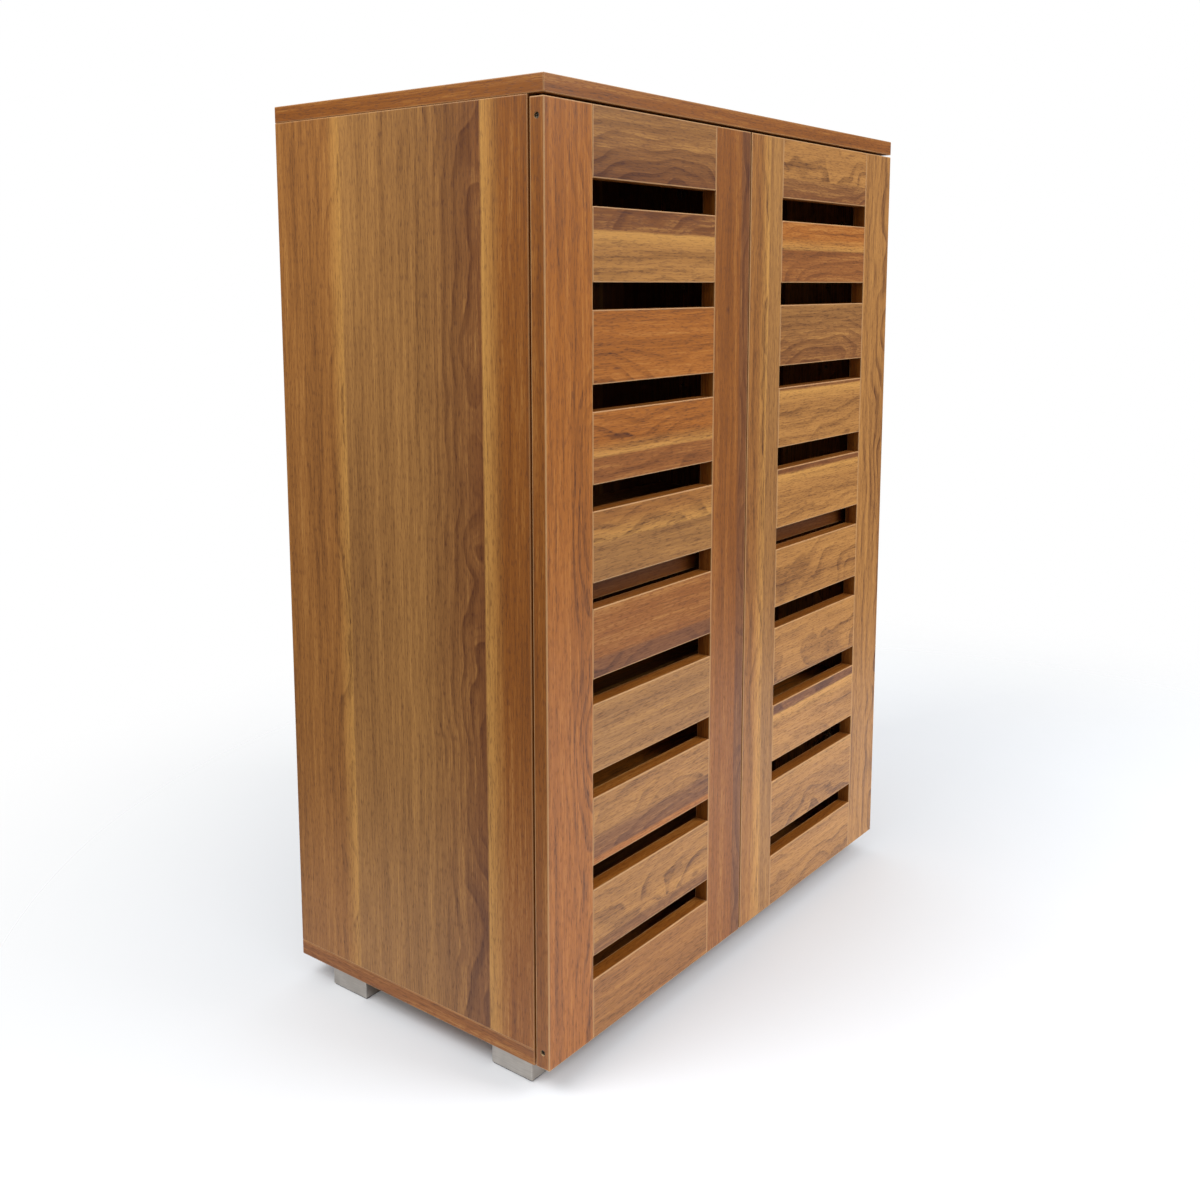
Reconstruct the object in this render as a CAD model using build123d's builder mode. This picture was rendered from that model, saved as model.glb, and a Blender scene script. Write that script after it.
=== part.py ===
from build123d import *
import os

# Two-door shoe cabinet. Origin on the floor under the middle of the cabinet, +Z up, front at -Y, millimetres.
# Left and right are seen from the front, so the left side is at -X.

# Driving dimensions of the cabinet
WIDTH = 630.0
DEPTH = 330.0
HEIGHT = 870.0
BOARD = 15.0
FOOT_HEIGHT = 24.0
EASE = 0.8

# Doors: stiles and rails in one plane, with open slots between the rails
SLOTS = 9
SLOT_HEIGHT = 23.0
SLOT_PITCH = 86.0
STILE = 62.5
TOP_RAIL = 59.5
DOOR_BACK_GAP = 2.0
DOOR_TOP_GAP = 2.5
DOOR_BOTTOM_GAP = 1.0
MEETING_GAP = 2.0

# Shelves
MIDDLE_SHELF_Z = 425.5
LOWER_SHELF_Z = 215.0
UPPER_SHELF_Z = 640.0
MIDDLE_SHELF_SETBACK = 6.0
LOOSE_SHELF_SETBACK = 18.0
SHELF_SIDE_GAP = 2.0
SHELF_BACK_GAP = 1.0

# Back panel and its groove
BACK_THICK = 3.0
BACK_INSET = 10.0
GROOVE_DEPTH = 5.0
GROOVE_PLAY = 0.2
BACK_EDGE_PLAY = 0.5

# Feet
FOOT = 48.0
FOOT_SIDE_INSET = 8.0
FOOT_FRONT_INSET = 10.0
FOOT_BACK_INSET = 38.0
FOOT_WALL = 2.0
FOOT_TOP_WALL = 3.0
FOOT_EASE = 0.6
PAD_THICK = 1.2
PAD_INSET = 1.0
PAD_PLUG = 4.0
PAD_PLAY = 0.2
FOOT_SCREW_OFFSET = 11.0

# Carcass joints: dowels, cam bolts with cam discs, and screws up through the bottom panel. TIP_PLAY is the
# room left beyond a screw's tip, and BREAKTHROUGH is how far a drill runs past a face that it opens.
DOWEL_YS = (-50.0, 55.0)
CAM_YS = (-115.0, 120.0)
DOWEL_R = 4.0
DOWEL_HOLE_R = 4.05
DOWEL_FACE_DEPTH = 11.0
DOWEL_EDGE_DEPTH = 19.0
DOWEL_END_PLAY = 0.3
CAM_REACH = 34.0
CAM_R = 7.4
CAM_BORE_R = 7.5
CAM_BORE_DEPTH = 12.5
CAM_HEIGHT = 12.0
CAM_SINK = 0.3
CAM_CHANNEL_R = 3.6
CAM_SLOT = 1.2
BOLT_THREAD_R = 3.0
BOLT_THREAD_DEPTH = 10.0
BOLT_COLLAR_R = 3.6
BOLT_COLLAR = 3.0
BOLT_NECK_R = 2.2
BOLT_HEAD_R = 3.2
BOLT_HEAD = 4.0
BOLT_EDGE_HOLE_R = 4.0
CONFIRMAT_HEAD_R = 5.0
CONFIRMAT_HEAD = 2.0
CONFIRMAT_SHANK_R = 3.5
CONFIRMAT_CORE_R = 2.5
CONFIRMAT_LENGTH = 50.0
TIP_PLAY = 1.0
BREAKTHROUGH = 1.0
RECESS_DEPTH = 1.0
RECESS_ARM_RATIO = 0.2

# Shelf pins and their rows of holes
PIN_YS = (-95.0, 115.0)
PIN_R = 2.5
PIN_SHANK_R = 2.45
PIN_HOLE_DEPTH = 9.0
PIN_SHANK = 8.5
PIN_COLLAR_R = 4.0
PIN_COLLAR = 1.5
PIN_STUB = 10.0
PIN_ROW_STEP = 32.0
PIN_ROW_REACH = 2

# Door joints: dowels at the ends of the rails, and a long screw at each corner
RAIL_DOWEL_R = 3.0
RAIL_DOWEL_DEPTH = 15.0
RAIL_DOWEL_SPREAD = 16.0
FRAME_SCREW_END = 15.0
FRAME_SCREW_HEAD_R = 2.6
FRAME_SCREW_HEAD = 2.5
FRAME_SCREW_SINK = 1.5
FRAME_SCREW_R = 1.8
FRAME_SCREW_LENGTH = 85.0
FRAME_SCREW_RECESS = 3.6
HOLE_PLAY = 0.1

# Cup hinges. A point of a hinge is given as (inward, forward): how far it is inward from the door's outer
# edge, and how far it is in front of the carcass, with the door closed.
HINGE_END = 100.0
CUP_CENTRE = 22.5
CUP_BORE_R = 17.5
CUP_R = 17.4
CUP_INNER_R = 16.7
CUP_DEPTH = 11.7
CUP_BORE_DEPTH = 12.0
CUP_FLOOR = 0.8
FLANGE = 1.2
EAR_CENTRE = 28.5
EAR_WIDTH = 16.0
EAR_LENGTH = 60.0
EAR_CORNER = 5.0
CUP_NOTCH = 15.0
CUP_SCREW_SPREAD = 24.0
CUP_SCREW_R = 1.6
CUP_SCREW_HEAD_R = 3.4
CUP_SCREW_HEAD = 1.4
CUP_SCREW_DEPTH = 10.0
CUP_SCREW_RECESS_DEPTH = 0.8
ARM_OUTER_PIVOT = (28.2, 0.7)
ARM_INNER_PIVOT = (32.6, 9.4)
CUP_OUTER_PIVOT = (10.05, 4.4)
CUP_INNER_PIVOT = (10.4, 9.9)
OUTER_KNEE = (16.0, 9.7)
INNER_KNEES = ((10.9, 11.0), (33.2, 10.9))
LINK_EYE_R = 2.3
LINK_KNEE_R = 1.6
INNER_EYE_R = 2.0
INNER_ARM_EYE_R = 2.2
INNER_BAR_R = 1.2
LINK_PIN_R = 1.1
LINK_HOLE_R = 1.2
INNER_LINK_HALF = 5.0
OUTER_CHEEK = (5.4, 6.8)
ARM_CHEEK = (7.2, 8.4)
CUP_PIN = (5.2, 10.9)
ARM_OUTLINE = (
    (18.0, -48.0),
    (33.0, -48.0),
    (33.0, -6.0),
    (35.2, 8.8),
    (34.4, 11.6),
    (31.2, 11.8),
    (25.6, 2.0),
    (25.2, -4.0),
    (21.0, -12.0),
    (21.0, -24.0),
    (18.0, -26.0),
)
ARM_OUTLINE_R = 0.8
ARM_WEB = ((31.8, -48.0), (33.0, -7.0))
PLATE_RIDGE = ((15.0, -48.0), (21.0, -26.0))
PLATE_RIDGE_HALF = 6.9
PLATE_WING = ((15.0, -43.0), (17.2, -31.0))
PLATE_WING_HALF = 26.0
PLATE_SCREW_SPREAD = 16.0
PLATE_SCREW_R = 1.9
PLATE_SCREW_HEAD_R = 3.4
PLATE_SCREW_HEAD = 2.0
PLATE_SCREW_DEPTH = 12.0
ARM_SCREW_R = 1.8
ARM_SCREW_HEAD_R = 3.0
ARM_SCREW_HEAD = 2.0
ARM_SCREW_TIP = 16.5

# Levels and planes that follow from them
HALF = WIDTH / 2
FRONT = -DEPTH / 2
BACK = DEPTH / 2
CARCASS_FRONT = FRONT + BOARD + DOOR_BACK_GAP
DOOR_BACK = FRONT + BOARD
DOOR_MID = FRONT + BOARD / 2
SIDE_BOTTOM = FOOT_HEIGHT + BOARD
SIDE_TOP = HEIGHT - BOARD
INNER_X = HALF - BOARD
SIDE_MID = HALF - BOARD / 2
DOOR_TOP = SIDE_TOP - DOOR_TOP_GAP
DOOR_BOTTOM = FOOT_HEIGHT + DOOR_BOTTOM_GAP
DOOR_WIDTH = HALF - MEETING_GAP / 2
BACK_FACE = BACK - BACK_INSET
GROOVE_X = INNER_X + GROOVE_DEPTH
GROOVE_LOW_Y = BACK_FACE - BACK_THICK - GROOVE_PLAY
GROOVE_HIGH_Y = BACK_FACE + GROOVE_PLAY
CAM_Z = SIDE_TOP - CAM_REACH
SHELF_MID_Z = MIDDLE_SHELF_Z + BOARD / 2
FRAME_SCREW_ZS = (DOOR_TOP - FRAME_SCREW_END, DOOR_BOTTOM + FRAME_SCREW_END)
HINGE_ZS = (DOOR_BOTTOM + HINGE_END, DOOR_TOP - HINGE_END)
FOOT_X = HALF - FOOT_SIDE_INSET - FOOT / 2
FOOT_YS = {"front": CARCASS_FRONT + FOOT_FRONT_INSET + FOOT / 2, "back": BACK - FOOT_BACK_INSET - FOOT / 2}
SIDES = {"left": -1, "right": 1}
UP = (0, 0, 1)
FROM_BASE = (Align.CENTER, Align.CENTER, Align.MIN)


def finish(piece, label):
    """Label a finished piece and write it."""
    piece.part.label = label
    export_step(piece.part, f"parts/{label}.step")


def board(low, high):
    """A plain board between two opposite corners, with eased edges."""
    centre = tuple((a + b) / 2 for a, b in zip(low, high))
    size = [b - a for a, b in zip(low, high)]
    with BuildPart() as blank:
        with Locations(centre):
            Box(*size)
        fillet(blank.edges(), EASE)
    return blank.part


def facing(direction, points):
    """Planes at points that look along one direction."""
    return [Plane(origin=point, z_dir=direction) for point in points]


def drill(planes, radius, depth):
    """Round blind holes in the piece being built, seen along their planes."""
    with Locations(*planes):
        Hole(radius, depth)


def turn(planes, steps):
    """Round stepped bodies on planes, each step as (radius, start, end) along the plane's normal."""
    for plane in planes:
        for radius, start, end in steps:
            with Locations(plane.offset(start)):
                Cylinder(radius, end - start, align=FROM_BASE)


def cross_recess(planes, width, depth):
    """A crosshead in faces at planes that look into the screw."""
    arm = width * RECESS_ARM_RATIO
    with Locations(*planes):
        Box(width, arm, 2 * depth, mode=Mode.SUBTRACT)
        Box(arm, width, 2 * depth, mode=Mode.SUBTRACT)


def above_sides(z, ys):
    """Points on the middle of both side panels' edges, at one level."""
    return [(side * SIDE_MID, y, z) for side in SIDES.values() for y in ys]


def groove(low, high):
    """A square groove between two corners in the piece being built."""
    with Locations(tuple((a + b) / 2 for a, b in zip(low, high))):
        Box(*[b - a for a, b in zip(low, high)], mode=Mode.SUBTRACT)


def shelf_pin_zs(shelf_z):
    """Levels of a column of shelf-pin holes around a shelf."""
    return [shelf_z - PIN_R + PIN_ROW_STEP * i for i in range(-PIN_ROW_REACH, PIN_ROW_REACH + 1)]


def across(side, inward):
    """X of a point a distance inward from the outer edge of one side's door."""
    return side * (HALF - inward)


os.makedirs("parts", exist_ok=True)

# ---------------------------------------------------------------- carcass boards

top_blank = board((-HALF, FRONT, SIDE_TOP), (HALF, BACK, HEIGHT))
with BuildPart() as top_panel:
    add(top_blank)
    drill(facing(UP, above_sides(SIDE_TOP, DOWEL_YS)), DOWEL_HOLE_R, DOWEL_FACE_DEPTH)
    drill(facing(UP, above_sides(SIDE_TOP, CAM_YS)), BOLT_THREAD_R + HOLE_PLAY, BOLT_THREAD_DEPTH)
    groove(
        (-GROOVE_X, GROOVE_LOW_Y, SIDE_TOP - GROOVE_DEPTH),
        (GROOVE_X, GROOVE_HIGH_Y, SIDE_TOP + GROOVE_DEPTH),
    )
finish(top_panel, "top_panel")

bottom_blank = board((-HALF, CARCASS_FRONT, FOOT_HEIGHT), (HALF, BACK, SIDE_BOTTOM))
foot_screw_points = [
    (side * FOOT_X + shift, y, FOOT_HEIGHT)
    for side in SIDES.values()
    for y in FOOT_YS.values()
    for shift in (-FOOT_SCREW_OFFSET, FOOT_SCREW_OFFSET)
]
with BuildPart() as bottom_panel:
    add(bottom_blank)
    drill(facing(UP, above_sides(SIDE_BOTTOM, DOWEL_YS)), DOWEL_HOLE_R, DOWEL_FACE_DEPTH)
    confirmat_faces = facing(UP, above_sides(FOOT_HEIGHT, CAM_YS))
    drill(confirmat_faces, CONFIRMAT_SHANK_R + HOLE_PLAY, BOARD + BREAKTHROUGH)
    drill(confirmat_faces, CONFIRMAT_HEAD_R + HOLE_PLAY, CONFIRMAT_HEAD)
    drill(facing(UP, foot_screw_points), PLATE_SCREW_R + HOLE_PLAY, PLATE_SCREW_DEPTH)
    groove(
        (-GROOVE_X, GROOVE_LOW_Y, SIDE_BOTTOM - GROOVE_DEPTH),
        (GROOVE_X, GROOVE_HIGH_Y, SIDE_BOTTOM + GROOVE_DEPTH),
    )
finish(bottom_panel, "bottom_panel")

plate_screw_y = CARCASS_FRONT - (PLATE_WING[0][1] + PLATE_WING[1][1]) / 2
plate_screw_zs = [z + sign * PLATE_SCREW_SPREAD for z in HINGE_ZS for sign in (-1, 1)]

for name, side in SIDES.items():
    inner_face = side * INNER_X
    outward = (side, 0, 0)
    low_x, high_x = sorted((side * HALF, inner_face))
    side_blank = board((low_x, CARCASS_FRONT, SIDE_BOTTOM), (high_x, BACK, SIDE_TOP))
    pin_points = [
        (inner_face, y, z)
        for shelf_z in (LOWER_SHELF_Z, UPPER_SHELF_Z)
        for z in shelf_pin_zs(shelf_z)
        for y in PIN_YS
    ]
    with BuildPart() as side_panel:
        add(side_blank)
        for level in (SIDE_TOP, SIDE_BOTTOM):
            ends = [(side * SIDE_MID, y, level) for y in DOWEL_YS]
            drill(facing(UP, ends), DOWEL_HOLE_R, DOWEL_EDGE_DEPTH)
        bolt_ends = [(side * SIDE_MID, y, SIDE_TOP) for y in CAM_YS]
        drill(facing(UP, bolt_ends), BOLT_EDGE_HOLE_R, CAM_REACH)
        screw_ends = [(side * SIDE_MID, y, SIDE_BOTTOM) for y in CAM_YS]
        drill(facing(UP, screw_ends), CONFIRMAT_CORE_R + HOLE_PLAY, CONFIRMAT_LENGTH - BOARD + TIP_PLAY)
        drill(facing(outward, [(inner_face, y, CAM_Z) for y in CAM_YS]), CAM_BORE_R, CAM_BORE_DEPTH)
        shelf_dowel_points = [(inner_face, y, SHELF_MID_Z) for y in DOWEL_YS]
        drill(facing(outward, shelf_dowel_points), DOWEL_HOLE_R, DOWEL_FACE_DEPTH)
        shelf_bolts = [(inner_face, y, SHELF_MID_Z) for y in CAM_YS]
        drill(facing(outward, shelf_bolts), BOLT_THREAD_R + HOLE_PLAY, BOLT_THREAD_DEPTH)
        drill(facing(outward, pin_points), PIN_R, PIN_HOLE_DEPTH)
        plate_points = [(inner_face, plate_screw_y, z) for z in plate_screw_zs]
        drill(facing(outward, plate_points), PLATE_SCREW_R + HOLE_PLAY, PLATE_SCREW_DEPTH)
        groove_xs = sorted((side * GROOVE_X, side * (INNER_X - GROOVE_DEPTH)))
        groove(
            (groove_xs[0], GROOVE_LOW_Y, SIDE_BOTTOM - BREAKTHROUGH),
            (groove_xs[1], GROOVE_HIGH_Y, SIDE_TOP + BREAKTHROUGH),
        )
    finish(side_panel, f"{name}_side_panel")

with BuildPart() as back_panel:
    edge_x = GROOVE_X - BACK_EDGE_PLAY
    low_z = SIDE_BOTTOM - GROOVE_DEPTH + BACK_EDGE_PLAY
    high_z = SIDE_TOP + GROOVE_DEPTH - BACK_EDGE_PLAY
    with Locations((0, BACK_FACE - BACK_THICK / 2, (low_z + high_z) / 2)):
        Box(2 * edge_x, BACK_THICK, high_z - low_z)
finish(back_panel, "back_panel")

# ---------------------------------------------------------------- shelves

shelf_back = BACK_FACE - BACK_THICK - SHELF_BACK_GAP
cam_xs = [side * (INNER_X - CAM_REACH) for side in SIDES.values()]
shelf_corner = (INNER_X, shelf_back, MIDDLE_SHELF_Z + BOARD)
middle_front = CARCASS_FRONT + MIDDLE_SHELF_SETBACK
middle_blank = board((-INNER_X, middle_front, MIDDLE_SHELF_Z), shelf_corner)
with BuildPart() as middle_shelf:
    add(middle_blank)
    for side in SIDES.values():
        dowel_ends = [(side * INNER_X, y, SHELF_MID_Z) for y in DOWEL_YS]
        bolt_ends = [(side * INNER_X, y, SHELF_MID_Z) for y in CAM_YS]
        drill(facing((side, 0, 0), dowel_ends), DOWEL_HOLE_R, DOWEL_EDGE_DEPTH)
        drill(facing((side, 0, 0), bolt_ends), BOLT_EDGE_HOLE_R, CAM_REACH)
    drill(facing(UP, [(x, y, MIDDLE_SHELF_Z) for x in cam_xs for y in CAM_YS]), CAM_BORE_R, CAM_BORE_DEPTH)
finish(middle_shelf, "middle_shelf")

loose_x = INNER_X - SHELF_SIDE_GAP
loose_front = CARCASS_FRONT + LOOSE_SHELF_SETBACK
for name, shelf_z in {"lower_shelf": LOWER_SHELF_Z, "upper_shelf": UPPER_SHELF_Z}.items():
    loose_blank = board((-loose_x, loose_front, shelf_z), (loose_x, shelf_back, shelf_z + BOARD))
    with BuildPart() as loose_shelf:
        add(loose_blank)
    finish(loose_shelf, name)

# ---------------------------------------------------------------- carcass fasteners

dowel_shift = (DOWEL_EDGE_DEPTH - DOWEL_FACE_DEPTH) / 2
dowel_length = DOWEL_EDGE_DEPTH + DOWEL_FACE_DEPTH - 2 * DOWEL_END_PLAY
with BuildPart() as carcass_dowels:
    with Locations(*facing(UP, above_sides(SIDE_TOP - dowel_shift, DOWEL_YS))):
        Cylinder(DOWEL_R, dowel_length)
    with Locations(*facing(UP, above_sides(SIDE_BOTTOM + dowel_shift, DOWEL_YS))):
        Cylinder(DOWEL_R, dowel_length)
    shelf_dowel_x = INNER_X - dowel_shift
    shelf_dowels = [(side * shelf_dowel_x, y, SHELF_MID_Z) for side in SIDES.values() for y in DOWEL_YS]
    with Locations(*facing((1, 0, 0), shelf_dowels)):
        Cylinder(DOWEL_R, dowel_length)
finish(carcass_dowels, "carcass_dowels")

bolt_steps = (
    (BOLT_THREAD_R, -BOLT_THREAD_DEPTH + DOWEL_END_PLAY, 0.0),
    (BOLT_COLLAR_R, 0.0, BOLT_COLLAR),
    (BOLT_THREAD_R, BOLT_COLLAR, CAM_REACH - CAM_R),
    (BOLT_NECK_R, CAM_REACH - CAM_R, CAM_REACH - BOLT_HEAD / 2),
    (BOLT_HEAD_R, CAM_REACH - BOLT_HEAD / 2, CAM_REACH + BOLT_HEAD / 2),
)
with BuildPart() as cam_bolts:
    turn(facing((0, 0, -1), above_sides(SIDE_TOP, CAM_YS)), bolt_steps)
    for side in SIDES.values():
        turn(facing((-side, 0, 0), [(side * INNER_X, y, SHELF_MID_Z) for y in CAM_YS]), bolt_steps)
finish(cam_bolts, "cam_bolts")

with BuildPart() as cam_discs:
    for side in SIDES.values():
        inner_face = side * INNER_X
        side_cams = facing((side, 0, 0), [(inner_face, y, CAM_Z) for y in CAM_YS])
        turn(side_cams, ((CAM_R, CAM_SINK, CAM_SINK + CAM_HEIGHT),))
        cross_recess([plane.offset(CAM_SINK) for plane in side_cams], CAM_R, CAM_SLOT)
        channels = facing(UP, [(side * SIDE_MID, y, CAM_Z + CAM_R / 2) for y in CAM_YS])
        drill(channels, CAM_CHANNEL_R, CAM_R)
        shelf_cams = facing(UP, [(side * (INNER_X - CAM_REACH), y, MIDDLE_SHELF_Z) for y in CAM_YS])
        turn(shelf_cams, ((CAM_R, CAM_SINK, CAM_SINK + CAM_HEIGHT),))
        cross_recess([plane.offset(CAM_SINK) for plane in shelf_cams], CAM_R, CAM_SLOT)
        channel_x = side * (INNER_X - CAM_REACH + CAM_R / 2)
        drill(facing((1, 0, 0), [(channel_x, y, SHELF_MID_Z) for y in CAM_YS]), CAM_CHANNEL_R, CAM_R)
finish(cam_discs, "cam_discs")

confirmat_planes = facing(UP, above_sides(FOOT_HEIGHT, CAM_YS))
with BuildPart() as confirmat_screws:
    turn(
        confirmat_planes,
        (
            (CONFIRMAT_HEAD_R, DOWEL_END_PLAY, CONFIRMAT_HEAD),
            (CONFIRMAT_SHANK_R, CONFIRMAT_HEAD, BOARD),
            (CONFIRMAT_CORE_R, BOARD, CONFIRMAT_LENGTH),
        ),
    )
    cross_recess(confirmat_planes, CONFIRMAT_HEAD_R, CONFIRMAT_HEAD)
finish(confirmat_screws, "confirmat_screws")

with BuildPart() as shelf_pins:
    for side in SIDES.values():
        pin_zs = [shelf_z - PIN_R for shelf_z in (LOWER_SHELF_Z, UPPER_SHELF_Z)]
        pin_points = [(side * INNER_X, y, z) for z in pin_zs for y in PIN_YS]
        turn(
            facing((-side, 0, 0), pin_points),
            (
                (PIN_SHANK_R, -PIN_SHANK, 0.0),
                (PIN_COLLAR_R, 0.0, PIN_COLLAR),
                (PIN_R, PIN_COLLAR, PIN_STUB),
            ),
        )
finish(shelf_pins, "shelf_pins")

# ---------------------------------------------------------------- feet

for place, y in FOOT_YS.items():
    for name, side in SIDES.items():
        x = side * FOOT_X
        with BuildPart() as foot:
            with BuildSketch(Plane.XY.offset(PAD_THICK)):
                with Locations((x, y)):
                    Rectangle(FOOT, FOOT)
            extrude(amount=FOOT_HEIGHT - PAD_THICK)
            fillet(foot.edges().filter_by(Axis.Z), FOOT_EASE)
            fillet(foot.faces().sort_by(Axis.Z)[0].edges(), FOOT_EASE / 2)
            with BuildSketch(Plane.XY.offset(PAD_THICK)):
                with Locations((x, y)):
                    Rectangle(FOOT - 2 * FOOT_WALL, FOOT - 2 * FOOT_WALL)
            extrude(amount=FOOT_HEIGHT - PAD_THICK - FOOT_TOP_WALL, mode=Mode.SUBTRACT)
            screw_holes = [(x + shift, y, FOOT_HEIGHT) for shift in (-FOOT_SCREW_OFFSET, FOOT_SCREW_OFFSET)]
            drill(facing(UP, screw_holes), PLATE_SCREW_R + HOLE_PLAY, FOOT_TOP_WALL + BREAKTHROUGH)
        finish(foot, f"{place}_{name}_foot")

foot_centres = [(side * FOOT_X, y) for side in SIDES.values() for y in FOOT_YS.values()]
with BuildPart() as foot_pads:
    with BuildSketch():
        with Locations(*foot_centres):
            Rectangle(FOOT - 2 * PAD_INSET, FOOT - 2 * PAD_INSET)
    extrude(amount=PAD_THICK)
    with BuildSketch(Plane.XY.offset(PAD_THICK)):
        with Locations(*foot_centres):
            Rectangle(FOOT - 2 * FOOT_WALL - 2 * PAD_PLAY, FOOT - 2 * FOOT_WALL - 2 * PAD_PLAY)
    extrude(amount=PAD_PLUG)
finish(foot_pads, "foot_pads")

foot_plate_points = [(x, y, FOOT_HEIGHT - FOOT_TOP_WALL) for x, y, _ in foot_screw_points]
with BuildPart() as foot_screws:
    turn(
        facing(UP, foot_plate_points),
        (
            (PLATE_SCREW_HEAD_R, -PLATE_SCREW_HEAD, 0.0),
            (PLATE_SCREW_R, 0.0, FOOT_TOP_WALL + PLATE_SCREW_DEPTH - TIP_PLAY),
        ),
    )
finish(foot_screws, "foot_screws")

# ---------------------------------------------------------------- doors

cup_screw_zs = [z + sign * CUP_SCREW_SPREAD for z in HINGE_ZS for sign in (-1, 1)]
rail_count = SLOTS + 1
slot_tops = [DOOR_TOP - TOP_RAIL - SLOT_PITCH * i for i in range(SLOTS)]
rail_tops = [DOOR_TOP] + [z - SLOT_HEIGHT for z in slot_tops]
rail_bottoms = slot_tops + [DOOR_BOTTOM]
rail_dowel_zs = []
for i in range(rail_count):
    centre = (rail_tops[i] + rail_bottoms[i]) / 2
    spots = {centre - RAIL_DOWEL_SPREAD, centre + RAIL_DOWEL_SPREAD}
    near_screw = {z for z in spots if min(abs(z - level) for level in FRAME_SCREW_ZS) < RAIL_DOWEL_SPREAD / 2}
    rail_dowel_zs.append(sorted(spots - near_screw))

for name, side in SIDES.items():
    stiles = {"outer": (0.0, STILE), "inner": (DOOR_WIDTH, DOOR_WIDTH - STILE)}
    for stile_name, (edge, joint) in stiles.items():
        xs = sorted((across(side, edge), across(side, joint)))
        stile_blank = board((xs[0], FRONT, DOOR_BOTTOM), (xs[1], DOOR_BACK, DOOR_TOP))
        dowel_points = [(across(side, joint), DOOR_MID, z) for zs in rail_dowel_zs for z in zs]
        middle_points = [(across(side, (edge + joint) / 2), DOOR_MID, z) for z in FRAME_SCREW_ZS]
        edge_points = [(across(side, edge), DOOR_MID, z) for z in FRAME_SCREW_ZS]
        with BuildPart() as stile:
            add(stile_blank)
            drill(facing((1, 0, 0), dowel_points), RAIL_DOWEL_R + HOLE_PLAY / 2, RAIL_DOWEL_DEPTH)
            drill(facing((1, 0, 0), middle_points), FRAME_SCREW_R + HOLE_PLAY, STILE / 2 + BREAKTHROUGH)
            drill(
                facing((1, 0, 0), edge_points),
                FRAME_SCREW_HEAD_R + HOLE_PLAY,
                FRAME_SCREW_SINK + FRAME_SCREW_HEAD,
            )
            if stile_name == "outer":
                cup_points = [(across(side, CUP_CENTRE), DOOR_BACK, z) for z in HINGE_ZS]
                drill(facing((0, 1, 0), cup_points), CUP_BORE_R, CUP_BORE_DEPTH)
                pilot_points = [(across(side, EAR_CENTRE), DOOR_BACK, z) for z in cup_screw_zs]
                drill(facing((0, 1, 0), pilot_points), CUP_SCREW_R + HOLE_PLAY, CUP_SCREW_DEPTH)
        finish(stile, f"{name}_door_{stile_name}_stile")

    rail_xs = sorted((across(side, STILE), across(side, DOOR_WIDTH - STILE)))
    for i in range(rail_count):
        rail_blank = board((rail_xs[0], FRONT, rail_bottoms[i]), (rail_xs[1], DOOR_BACK, rail_tops[i]))
        end_points = [(x, DOOR_MID, z) for x in rail_xs for z in rail_dowel_zs[i]]
        screw_points = [(x, DOOR_MID, z) for x in rail_xs for z in FRAME_SCREW_ZS]
        with BuildPart() as rail:
            add(rail_blank)
            drill(facing((1, 0, 0), end_points), RAIL_DOWEL_R + HOLE_PLAY / 2, RAIL_DOWEL_DEPTH)
            if i in (0, rail_count - 1):
                core_depth = FRAME_SCREW_SINK + FRAME_SCREW_LENGTH - STILE + TIP_PLAY
                drill(facing((1, 0, 0), screw_points), FRAME_SCREW_R + HOLE_PLAY, core_depth)
        finish(rail, f"{name}_door_rail_{i + 1:02d}")

    with BuildPart() as rail_dowels:
        dowel_centres = [(x, DOOR_MID, z) for x in rail_xs for zs in rail_dowel_zs for z in zs]
        with Locations(*facing((1, 0, 0), dowel_centres)):
            Cylinder(RAIL_DOWEL_R, 2 * (RAIL_DOWEL_DEPTH - DOWEL_END_PLAY))
    finish(rail_dowels, f"{name}_door_dowels")

    with BuildPart() as frame_screws:
        for edge, direction in ((0.0, -side), (DOOR_WIDTH, side)):
            head_points = [(across(side, edge), DOOR_MID, z) for z in FRAME_SCREW_ZS]
            heads = facing((direction, 0, 0), head_points)
            head_end = FRAME_SCREW_SINK + FRAME_SCREW_HEAD
            turn(
                heads,
                (
                    (FRAME_SCREW_HEAD_R, FRAME_SCREW_SINK, head_end),
                    (FRAME_SCREW_R, head_end, FRAME_SCREW_SINK + FRAME_SCREW_LENGTH),
                ),
            )
            sunk_heads = [plane.offset(FRAME_SCREW_SINK) for plane in heads]
            cross_recess(sunk_heads, FRAME_SCREW_RECESS, FRAME_SCREW_HEAD / 2)
    finish(frame_screws, f"{name}_door_frame_screws")

# ---------------------------------------------------------------- cup hinges


def spot(point):
    """X and Y of a left-hand hinge point given as (inward, forward)."""
    return (-HALF + point[0], CARCASS_FRONT - point[1])


def slab(low, high, half, z):
    """A block of the piece being built between two hinge points, centred on a level."""
    low_x, low_y = spot(low)
    high_x, high_y = spot(high)
    with Locations(((low_x + high_x) / 2, (low_y + high_y) / 2, z)):
        Box(abs(high_x - low_x), abs(high_y - low_y), 2 * half)


def rod(start, start_r, end, end_r):
    """Flat outline of a straight link between two round ends."""
    with BuildSketch() as outline:
        with Locations(spot(start)):
            Circle(start_r)
        with Locations(spot(end)):
            Circle(end_r)
        make_hull()
    return outline.sketch


def link_outline(corners, holes):
    """Flat outline of a bent link through corners given as (point, radius), with round holes."""
    with BuildSketch() as outline:
        for (start, start_r), (end, end_r) in zip(corners, corners[1:]):
            add(rod(start, start_r, end, end_r))
        with Locations(*[spot(hole) for hole in holes]):
            Circle(LINK_HOLE_R, mode=Mode.SUBTRACT)
    return outline.sketch


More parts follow.
